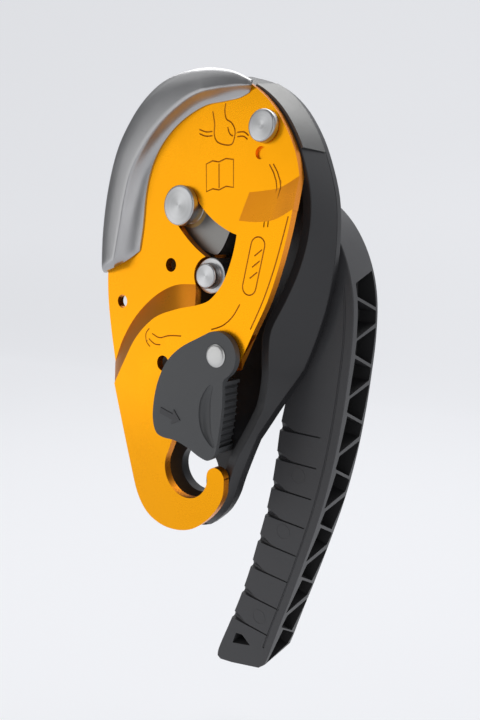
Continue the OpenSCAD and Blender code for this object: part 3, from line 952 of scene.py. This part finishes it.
    def _lip_section(self, outer: Point2, crest: Point2, inner: Point2, rise: float) -> list[Point3]:
        """Makes one section: a hollow slope from the inner edge, a rounded crest and an outer band.

        Args:
            outer: The section's outer end, as x and z.
            crest: Where it is highest.
            inner: Its inner end.
            rise: Its height above the disc.
        Returns:
            Sixteen points round the section.
        """
        def at(a: Point2, b: Point2, t: float) -> Point2:
            """A place between two points."""
            return (a[0] + (b[0] - a[0]) * t, a[1] + (b[1] - a[1]) * t)
        face = self.disc_face
        slope = [(0.0, 0.0), (0.01, 0.10), (0.10, 0.13), (0.3, 0.20), (0.5, 0.34), (0.7, 0.55), (0.86, 0.80),
                 (0.96, 0.96)]
        band = [(0.02, 1.0), (0.12, 1.0), (0.45, 0.93), (0.75, 0.80), (0.92, 0.63), (1.0, 0.42), (1.0, 0.2),
                (1.0, 0.0)]
        points = [(*at(inner, crest, t), face - rise * h) for t, h in slope]
        points += [(*at(crest, outer, t), face - rise * h) for t, h in band]
        return [(x, y, z) for x, z, y in points]


# ------------------------------------------------------------------ heads and pins
@dataclass
class Heads(SubAssembly):
    """The turned heads that hold the side plate: axle, pivot, wear stud and gate rivet."""

    head_front: float = -7.0
    head_rear: float = -4.25
    stud_front: float = -6.2
    rivet_front: float = -13.9

    def build(self) -> None:
        """Builds the four turned parts and dresses the plain inner ones."""
        f, r = self.head_front, self.head_rear
        axle = [(0, f + 0.12), (0.9, f + 0.05), (2.0, f), (6.3, f), (6.75, f + 0.12), (7.0, f + 0.4),
                (7.1, f + 0.8), (7.1, r - 0.3), (6.8, r), (5.8, r), (5.8, 0.1), (5.9, 0.2), (6, 0.3),
                (6, 30.2), (5.2, 30.2), (5.2, 31.4), (6, 31.4), (6, 31.8), (5.7, 32.1), (0, 32.1)]
        self._turned("cam_axle", AXLE_AT, axle, Finish.AXLE)
        pivot = [(0, f + 0.1), (0.8, f + 0.04), (1.6, f), (4.4, f), (4.85, f + 0.12), (5.1, f + 0.4),
                 (5.2, f + 0.8), (5.2, r - 0.3), (4.9, r), (3, r), (3, 14.6), (2.6, 15), (0, 15)]
        self._turned("plate_pivot_rivet", PIVOT_AT, pivot, Finish.PIVOT)
        b = self.stud_front
        stud = [(0, b + 0.1), (0.8, b + 0.04), (1.5, b), (3.7, b), (4.15, b + 0.1), (4.4, b + 0.35),
                (4.5, b + 0.7), (4.5, -3.2), (4.7, -3.0), (6.0, -3.0), (6.3, -2.85), (6.4, -2.5), (6.4, 11.6),
                (6, 12), (3, 12), (3, 14.7), (2.7, 15), (0, 15)]
        self._turned("wear_stud", STUD_AT, stud, Finish.STUD)
        g = self.rivet_front
        gate = [(0, g), (1.6, g + 0.02), (3.0, g + 0.1), (3.7, g + 0.28), (4.0, g + 0.6), (3.95, g + 0.8),
                (2.5, g + 0.8), (2.5, -7.3), (3.7, -7.3), (3.7, -6.7), (3.4, -6.5), (0, -6.5)]
        self._turned("gate_rivet", GATE_PIN_AT, gate, Finish.GATE_PIN, "side_plate", 64)
        for node in ("axle_washer", "axle_retaining_ring", "pivot_spacer", "cam_stop_pin", "catch_pin"):
            self.keep(node, Finish.STEEL)
        for node in ("plate_bearing", "cam_bush", "hub_bush"):
            self.keep(node, Finish.BRONZE)

    def _turned(self, node: str, at: Point2, profile: Sequence[Point2], finish: Finish,
                body: str | None = None, segments: int = 96) -> None:
        """Turns one part and hands it over.

        Args:
            node: The CAD node that it replaces.
            at: Where its axis is.
            profile: Pairs of radius and depth.
            finish: What its surface is.
            body: The body that it rides on, where that isn't the frame's.
            segments: How many steps the turn has.
        """
        piece = shaded(lathe(node.removeprefix("plate_") + "_turned", at, profile, segments), 40)
        self.add(piece, finish, "head_steel", [node], body)


# ------------------------------------------------------------------ springs
@dataclass(frozen=True)
class Coil:
    """One wire spring with its axis along Y."""

    node: str
    body: str
    centre: Point2
    radius: float
    wire: float
    turns: float
    front: float
    rear: float


@dataclass
class Springs(SubAssembly):
    """Every coil spring, wound by Geometry Nodes."""

    coils: tuple[Coil, ...] = (
        Coil("cam_return_spring", "frame_body", AXLE_AT, 9.6, 0.4, 3.0, 8.8, 10.9),
        Coil("catch_spring", "cam_body", CATCH_AT, 2.3, 0.26, 2.0, 9.9, 11.0),
        Coil("gate_spring", "side_plate", GATE_PIN_AT, 6.0, 0.35, 3.0, -6.35, -4.7),
        Coil("handle_return_spring", "handle", AXLE_AT, 8.2, 0.28, 1.6, 18.6, 19.3),
        Coil("button_spring", "handle", BUTTON_AT, 3.2, 0.35, 2.0, 25.1, 26.4))

    def build(self) -> None:
        """Winds the springs."""
        tree = coil_tree()
        material = self.palette.get(Finish.SPRING)
        for coil in self.coils:
            mesh = points_mesh(coil.node + "_seat", [(coil.centre[0], coil.front, coil.centre[1])])
            wound = tree.run(coil.node + "_wound", mesh, {
                "Turns": coil.turns, "Radius": coil.radius * MM, "Height": (coil.rear - coil.front) * MM,
                "Wire": coil.wire * MM, "Material": material})
            self.add(shaded(wound, 60), Finish.SPRING, "spring_steel", [coil.node], coil.body)


# ------------------------------------------------------------------ gate
@dataclass
class Gate(SubAssembly):
    """The moulded gate over the hook's mouth."""

    body: str = "gate_body"
    front: float = -13.1
    panel_rear: float = -10.6
    block_rear: float = -3.0
    rounding: float = 0.8
    rib_count: int = 9

    def build(self) -> None:
        """Builds the panel, the thumb block, the scoop, the ribs and the arrow."""
        edge = (smooth([(19.4, 36), (19, 27), (17.6, 18), (15.8, 10.4), (12.8, 7.6), (8.6, 8.4), (3.4, 10.8),
                        (-2.6, 12.6), (-8.6, 13), (-12, 14.6), (-13.4, 19.6), (-12.6, 27), (-10.2, 34.4),
                        (-6, 41.4), (0.6, 46.8), (8.6, 50.6)], 5)
                + arc(GATE_PIN_AT, 8.4, 120, -60, 14) + [(20.2, 37.4)])
        block = [(11.6, 36), (11.6, 12), (13.2, 9.3), (15.8, 10.6), (17.5, 18), (18.9, 27), (19.3, 36)]
        gate = carved(prism("gate_moulding", edge, self.front, self.panel_rear),
                      prism("block", smooth(block, 4), self.panel_rear - 1, self.block_rear), "UNION")
        gate = carved(gate, lathe("pin_hole", GATE_PIN_AT, [(0, -30), (2.55, -30), (2.55, 2), (0, 2)], 48))
        gate = carved(gate, self._recess())
        gate = rounded(gate, self.rounding, 3, 40)
        gate = carved(gate, self._scoop())
        self.palette.dress(gate, Finish.GATE)
        ribs = self._ribs()
        whole = joined("gate_moulded", [gate, ribs])
        self.add(shaded(whole, 30), Finish.GATE, "gate_plastic", ["gate"])
        self.add(self._arrow(), Finish.GRIP, "gate_plastic")

    def _scoop(self) -> bpy.types.Object:
        """The crescent hollow beside the ribs, as a bent blade."""
        outer = smooth([(14.6, 35.0), (12.2, 30.0), (11.4, 24.0), (12.2, 17.6), (15.2, 12.6)], 6)
        sections = []
        for i, (x, z) in enumerate(outer):
            u = i / (len(outer) - 1)
            half = 0.4 + 2.3 * math.sin(math.pi * u) ** 0.7
            deep = 0.1 + 1.7 * math.sin(math.pi * u) ** 0.8
            ring = []
            for k in range(16):
                across, inward = math.cos(2 * math.pi * k / 16), math.sin(2 * math.pi * k / 16)
                depth = deep * inward * (1 if inward > 0 else 0.2)
                ring.append((x + half * across, self.front - 0.02 + depth, z))
            sections.append(ring)
        return loft("scoop", sections)

    def _recess(self) -> bpy.types.Object:
        """The hollow in the block's right side that holds the ribs."""
        side = smooth([(18.2, 34.8), (17.7, 27), (16.4, 18), (14.9, 12.2)], 5)
        outline = side + [(24, 12.2), (24, 34.8)]
        return prism("recess", outline, self.front + 1.6, self.block_rear + 1)

    def _ribs(self) -> bpy.types.Object:
        """The row of thumb ribs, set out by Geometry Nodes."""
        section = [(-0.9, 0.55), (0.35, 0.42), (0.75, 0.0), (0.35, -0.42), (-0.9, -0.55)]
        rib = prism("rib_model", section, self.front + 1.55, self.block_rear - 0.35)
        path = points_mesh("rib_path", [(x, 0, z) for x, z in smooth([(18.2, 33.4), (17.85, 27), (16.7, 18.6),
                                                                       (15.5, 13.6)], 5)], True)
        made = repeat_tree().run("gate_ribs", path, {"Model": rib, "Count": self.rib_count,
                                                     "Material": self.palette.get(Finish.GATE)})
        bpy.data.objects.remove(rib)
        return made

    def _arrow(self) -> bpy.types.Object:
        """A small raised arrow that shows which way the gate opens."""
        outline = [(-9.8, 21.9), (-3.8, 20.1), (-4.3, 18.4), (0.2, 20.4), (-2.8, 24.2), (-3.3, 22.4),
                   (-9.2, 24.2)]
        return rounded(prism("gate_arrow", outline, self.front - 0.35, self.front + 0.3), 0.15, 2, 40)


# ------------------------------------------------------------------ body
@dataclass
class Body(SubAssembly):
    """The fixed plate, the side wall, its steel insert, the rivets and the cam."""

    rounding: float = 0.45

    def build(self) -> None:
        """Builds the body's shells and the cam."""
        parts = (("fixed_side_plate", Finish.BODY, "body_black", 0.5),
                 ("side_wall", Finish.WALL, "body_black", 0.3),
                 ("rope_wear_insert", Finish.INSERT, "insert_steel", 0.08))
        for node, finish, slot, width in parts:
            shell = rounded(cad_copy(node, node + "_shell", 0.3), width, 2, 40)
            self.add(shaded(shell, 35), finish, slot, [node])
        cam = rounded(cad_copy("cam", "cam_casting"), self.rounding, 3, 30)
        self.add(shaded(cam, 35), Finish.CAM, "cam_steel", ["cam"], "cam_body")
        self.add(self._rivets(), Finish.STEEL, "insert_steel", ["wall_rivets"])
        self.keep("error_catch", Finish.CATCH)

    def _rivets(self) -> bpy.types.Object:
        """The wall's rivets with domed rear heads, set by Geometry Nodes."""
        profile = [(0, 11), (1.75, 11), (1.75, 14.4), (1.6, 14.8), (1.0, 14.97), (0, 15)]
        model = lathe("rivet_model", (0, 0), profile, 40)
        places = points_mesh("rivet_places", [(17, 0, 136.4), (45, 0, 98), (42.2, 0, 62)])
        made = scatter_tree().run("wall_rivets_set", places, {"Model": model,
                                                             "Material": self.palette.get(Finish.STEEL)})
        bpy.data.objects.remove(model)
        return shaded(made, 40)


# ------------------------------------------------------------------ handle
@dataclass
class Handle(SubAssembly):
    """The folding handle with its truss, finger grooves, hub, cap, screws and button."""

    body: str = "handle"
    front: float = 17.5
    rear: float = 37.5
    rounding: float = 2.0
    hub_rear: float = 29.5
    window_depth: float = 7.2
    window_tilt: float = -2.6
    window_growth: float = 0.03

    def build(self) -> None:
        """Builds the grip and everything on its hub."""
        grip = rounded(prism("grip_moulding", self._outline(), self.front, self.rear), self.rounding, 4, 40)
        hub = lathe("hub_shell", AXLE_AT, [(0, self.front), (18.4, self.front), (19, self.front + 0.6),
                                           (19, self.hub_rear), (0, self.hub_rear)], 96)
        grip = carved(grip, hub, "UNION")
        for cutter in (self._lathe_cut("bore", 13, 0, 60), self._lathe_cut("cap_room", 21, self.hub_rear, 60),
                       self._windows(False), self._windows(True), self._grooves(), self._ridge(),
                       self._end_hole(), self._button_hole()):
            grip = carved(grip, cutter)
        self.add(shaded(grip, 32), Finish.GRIP, "grip_plastic", ["handle_grip"])
        self.add(self._marks(), Finish.GRIP, "grip_plastic")
        self.add(self._cap(), Finish.GRIP, "body_black", ["hub_cap"])
        self.add(self._screws(), Finish.STEEL, "inner_steel", ["hub_screws"])
        self.add(self._button(), Finish.BUTTON, "button_red", ["handle_button"], "button")
        self.keep("handle_hub", Finish.STEEL)
        self.keep("drive_plate", Finish.STEEL)

    @staticmethod
    def right_side() -> list[Point2]:
        """The grip's right edge, from the hub down to the tip."""
        return smooth([(16, 112), (27, 104.6), (37.4, 96.7), (44.6, 87.8), (49.8, 76.5), (52.4, 64),
                       (52.4, 50), (51, 36), (48.8, 20), (45.6, 3), (41, -15), (34.8, -34), (28.4, -52),
                       (22.8, -67), (18.2, -80)], 6)

    def _outline(self) -> list[Point2]:
        """The grip's outline seen from the front."""
        left = smooth([(-7.6, -88.4), (-6.4, -83.8), (-0.2, -69.6), (5, -57), (9.4, -44.6), (13, -32.6),
                       (16.6, -20.4), (19.4, -8.6), (21.4, 3), (23.1, 15), (26, 28), (28.6, 42), (27.4, 57),
                       (20.5, 70), (8, 77.5)], 6)
        return self.right_side() + [(16.6, -84), (13.6, -86.4), (0, -89), (-6, -89.6)] + left

    @staticmethod
    def _lathe_cut(name: str, radius: float, y0: float, y1: float) -> bpy.types.Object:
        """A round cutter about the axle."""
        return lathe(name, AXLE_AT, [(0, y0), (radius, y0), (radius, y1), (0, y1)], 96)

    @staticmethod
    def _at_height(line: Sequence[Point2], z: float) -> Point2:
        """The point of a falling line at height z."""
        for (xa, za), (xb, zb) in zip(line, line[1:]):
            if zb <= z <= za:
                return (xa + (xb - xa) * (za - z) / max(za - zb, 1e-6), z)
        return line[-1]

    def _windows(self, flipped: bool) -> bpy.types.Object:
        """Makes half of the truss windows, instanced down the right side.

        Args:
            flipped: True for the windows that are wide at the front, false for those wide at the rear.
        Returns:
            The windows' cutter.
        """
        y0, y1 = self.front + 3.2, self.rear - 1.7
        middle, half = (y0 + y1) / 2, (y1 - y0) / 2
        a, b = (-half, half) if flipped else (half, -half)
        corners = [(a, 6.7), (a, -6.7), (b, -2.3), (b, 2.3)]
        cutter = loft("window_model", [[(x, y, z) for y, z in corners] for x in (-self.window_depth, 4)])
        cutter = rounded(cutter, 0.6, 3, 20)
        line = self.right_side()
        heights = [67.2 - 10.1 * k - 0.085 * k * k for k in range(1 if flipped else 0, 14, 2)]
        places = [self._at_height(line, height) for height in heights]
        path = points_mesh("window_path", [(x, middle, z) for x, z in places], True)
        # The cutter's darker nylon passes to the windows' inner faces as painted shade.
        made = at_corners_tree().run("windows", path, {
            "Model": cutter, "Follow": 1.0, "Slant": math.radians(self.window_tilt),
            "Grow": self.window_growth, "Material": self.palette.get(Finish.GRIP_WINDOW_SHADE)})
        bpy.data.objects.remove(cutter)
        return made

    def _grooves(self) -> bpy.types.Object:
        """The finger grooves on the front face: a wedge at the left edge that runs out in a fine line."""
        front = self.front
        sections = []
        for x, top, low, deep in ((-5, 2.2, -1.5, 2.4), (0.6, 1.9, -1.5, 1.9), (2.6, 1.5, -1.5, 1.5),
                                  (4.4, 0.5, -1.5, 1.15), (6.0, -0.4, -1.5, 0.95), (8.0, -0.72, -1.45, 0.8),
                                  (13, -0.78, -1.42, 0.7), (17.2, -0.84, -1.38, 0.55),
                                  (17.7, -1.0, -1.2, 0.3)):
            tall = top - low
            sections.append([(x, front - 2, low), (x, front, low),
                             (x, front + 0.85 * deep, low + 0.08 * tall), (x, front + deep, low + 0.3 * tall),
                             (x, front + 0.45 * deep, top - 0.1 * tall), (x, front, top),
                             (x, front - 2, top)])
        model = loft("groove_model", sections)
        starts = [(23.0, 15.6), (21.5, 3.9), (19.6, -7.9), (16.9, -19.4), (13.4, -31.0), (10.0, -42.6),
                  (5.9, -54.9), (1.2, -67.3)]
        path = points_mesh("groove_path", [(x, 0, z) for x, z in starts], True)
        made = at_corners_tree().run("grooves", path, {"Model": model, "Follow": 0.38,
                                                       "Material": self.palette.get(Finish.GRIP)})
        bpy.data.objects.remove(model)
        return made

    def _ridge(self) -> bpy.types.Object:
        """A fine groove down the front face, beside the truss."""
        line = [(x - 3.4, self.front, z) for x, z in self.right_side() if -78 < z < 70]
        return tube_along("ridge_line", line, 0.4)

    def _end_hole(self) -> bpy.types.Object:
        """The hole through the grip's lower end."""
        corners = [(0.6, -79.8), (2.4, -74.8), (5.6, -74.6), (9.6, -78)]
        return rounded(prism("end_hole", corners, self.front - 2, self.rear + 2), 0.4, 2, 30)

    def _button_hole(self) -> bpy.types.Object:
        """The button's well."""
        return lathe("button_well", BUTTON_AT, [(0, 24.5), (5.05, 24.5), (5.05, 60), (0, 60)], 64)

    def _marks(self) -> bpy.types.Object:
        """Three faint moulding rings on the grip's front face."""
        rings = []
        for x, z in ((31.3, -2.3), (24.9, -25.7), (13.9, -64.1)):
            profile = [(2.75, self.front + 0.2), (2.75, self.front - 0.06), (3.05, self.front - 0.06),
                       (3.05, self.front + 0.2), (2.75, self.front + 0.2)]
            rings.append(lathe("ring", (x, z), profile, 48))
        return joined("moulding_rings", rings)

    def _cap(self) -> bpy.types.Object:
        """The hub's cap, with a raised rim and two fine rings."""
        profile = [(6.4, 31.7), (11, 31.7), (11, 29.5), (19, 29.5), (19, 31.9), (18.6, 32.35), (18.2, 32.5),
                   (17.0, 32.5), (16.8, 32.2), (13.4, 32.2), (13.2, 32.5), (12.0, 32.5), (11.8, 32.2),
                   (7.2, 32.2), (7.0, 32.5), (6.4, 32.5), (6.4, 31.7)]
        cap = lathe("hub_cap_moulded", AXLE_AT, profile, 96)
        for x, z in self._screw_places():
            cap = carved(cap, lathe("screw_hole", (x, z), [(0, 28), (1.55, 28), (1.55, 40), (0, 40)], 32))
        return shaded(cap, 30)

    @staticmethod
    def _screw_places() -> list[Point2]:
        """Where the hub's three screws are."""
        return arc(AXLE_AT, 16, 60, 240, 2)

    def _screws(self) -> bpy.types.Object:
        """The hub's screws with hexagon sockets, set by Geometry Nodes."""
        profile = [(0, 15.6), (1.5, 15.6), (1.5, 31.6), (1.3, 31.9), (0, 31.9)]
        model = lathe("screw_model", (0, 0), profile, 32)
        model = carved(model, prism("socket", arc((0, 0), 0.85, 0, 300, 5), 30.6, 33))
        places = points_mesh("screw_places", [(x, 0, z) for x, z in self._screw_places()])
        made = scatter_tree().run("hub_screws_set", places, {"Model": model,
                                                            "Material": self.palette.get(Finish.STEEL)})
        bpy.data.objects.remove(model)
        return shaded(made, 40)

    def _button(self) -> bpy.types.Object:
        """The red button, domed and with two grip rings."""
        profile = [(0, 30.1), (4, 30.1), (4, 27.1), (5, 27.1), (5, 38.0), (4.8, 38.5), (4.4, 38.8),
                   (3.7, 38.9), (3.5, 38.6), (3.1, 38.6), (2.9, 39.0), (2.1, 39.05), (1.9, 38.75),
                   (1.5, 38.75), (1.3, 39.08), (0, 39.1)]
        return shaded(lathe("handle_button_domed", BUTTON_AT, profile, 64), 30)


# ------------------------------------------------------------------ studio
@dataclass
class Studio:
    """A pale studio: a curved backdrop, four soft lights and the camera."""

    pale: Colour = (0.83, 0.84, 0.87)
    camera_at: Point3 = (152.2, -185.8, 72.5)
    azimuth: float = 36.0
    elevation: float = 7.5
    lens: float = 32.5
    floor: float = -125.0
    sweep_radius: float = 300.0
    aim: Point3 = (0, 0, 60)

    def build(self) -> None:
        """Builds the backdrop, the world, the lights and the camera."""
        self._backdrop()
        self._world()
        self._light("key_light", (-470, -640, 10), (76, 76), 1.72)
        self._light("top_light", (-60, 230, 640), (80, 45), 3.4)
        self._light("right_light", (520, -430, 200), (50, 60), 0.9)
        self._light("slope_light", (-340, -170, 640), (45, 45), 0.4)
        self._camera()
        bpy.context.scene.view_settings.view_transform = "Standard"

    def _backdrop(self) -> None:
        """A floor under the object that sweeps up far behind it."""
        bend = arc((700, self.floor + self.sweep_radius), self.sweep_radius, -90, 0, 10)
        profile = [(-900, self.floor)] + bend + [(700 + self.sweep_radius, 1300)]
        bm = bmesh.new()
        rows = [[bm.verts.new((x, y, z)) for y, z in profile] for x in (-2800, 1800)]
        for k in range(len(profile) - 1):
            bm.faces.new((rows[0][k], rows[0][k + 1], rows[1][k + 1], rows[1][k]))
        sweep = from_bmesh("backdrop", bm)
        paint = Paint("backdrop_pale")
        cloud = paint.noise(paint.place(), 3, 2)
        tint = paint.blend(cloud, tuple(c * 0.30 for c in self.pale), tuple(c * 0.29 for c in self.pale))
        sweep.data.materials.append(paint.finish(Base_Color=tint, Roughness=0.95, Emission_Strength=0.775,
                                                 Emission_Color=(*self.pale, 1)))
        sweep.data.shade_smooth()

    def _world(self) -> None:
        """An even, pale surrounding light."""
        world = bpy.data.worlds.new("studio")
        bpy.context.scene.world = world
        world.use_nodes = True
        background = world.node_tree.nodes["Background"]
        background.inputs[0].default_value = (*self.pale, 1)
        background.inputs[1].default_value = 0.26

    def _light(self, name: str, at: Point3, size: Point2, power: float) -> None:
        """Adds a soft rectangular light, aimed at the object's middle.

        Args:
            name: The light's name.
            at: Where it is, in millimetres.
            size: Its width and height in centimetres.
            power: Its power in watts.
        """
        data = bpy.data.lights.new(name, "AREA")
        data.shape = "RECTANGLE"
        data.size, data.size_y = size[0] * 0.01, size[1] * 0.01
        data.energy = power
        lamp = bpy.data.objects.new(name, data)
        bpy.context.scene.collection.objects.link(lamp)
        lamp.location = Vector(at) * MM
        lamp.rotation_euler = (Vector(self.aim) - Vector(at)).to_track_quat("-Z", "Y").to_euler()

    def _camera(self) -> None:
        """Looks at the object from its right front, slightly from above."""
        data = bpy.data.cameras.new("camera")
        data.lens = self.lens
        data.sensor_width = 36
        data.clip_start = 0.01
        data.clip_end = 20
        camera = bpy.data.objects.new("camera", data)
        bpy.context.scene.collection.objects.link(camera)
        camera.location = Vector(self.camera_at) * MM
        camera.rotation_euler = Euler((math.radians(90 - self.elevation), 0, math.radians(self.azimuth)))
        bpy.context.scene.camera = camera


def main() -> None:
    """Builds every sub-assembly in order."""
    logging.basicConfig(level=logging.INFO, format="%(name)s: %(message)s")
    palette = Palette()
    for part in (Body(palette), MovingPlate(palette), Heads(palette), Gate(palette), Springs(palette),
                 Handle(palette)):
        part.build()
        LOG.info("%s built from %d pieces", type(part).__name__, len(part.pieces))
    Studio().build()


if __name__ == "__main__":
    main()
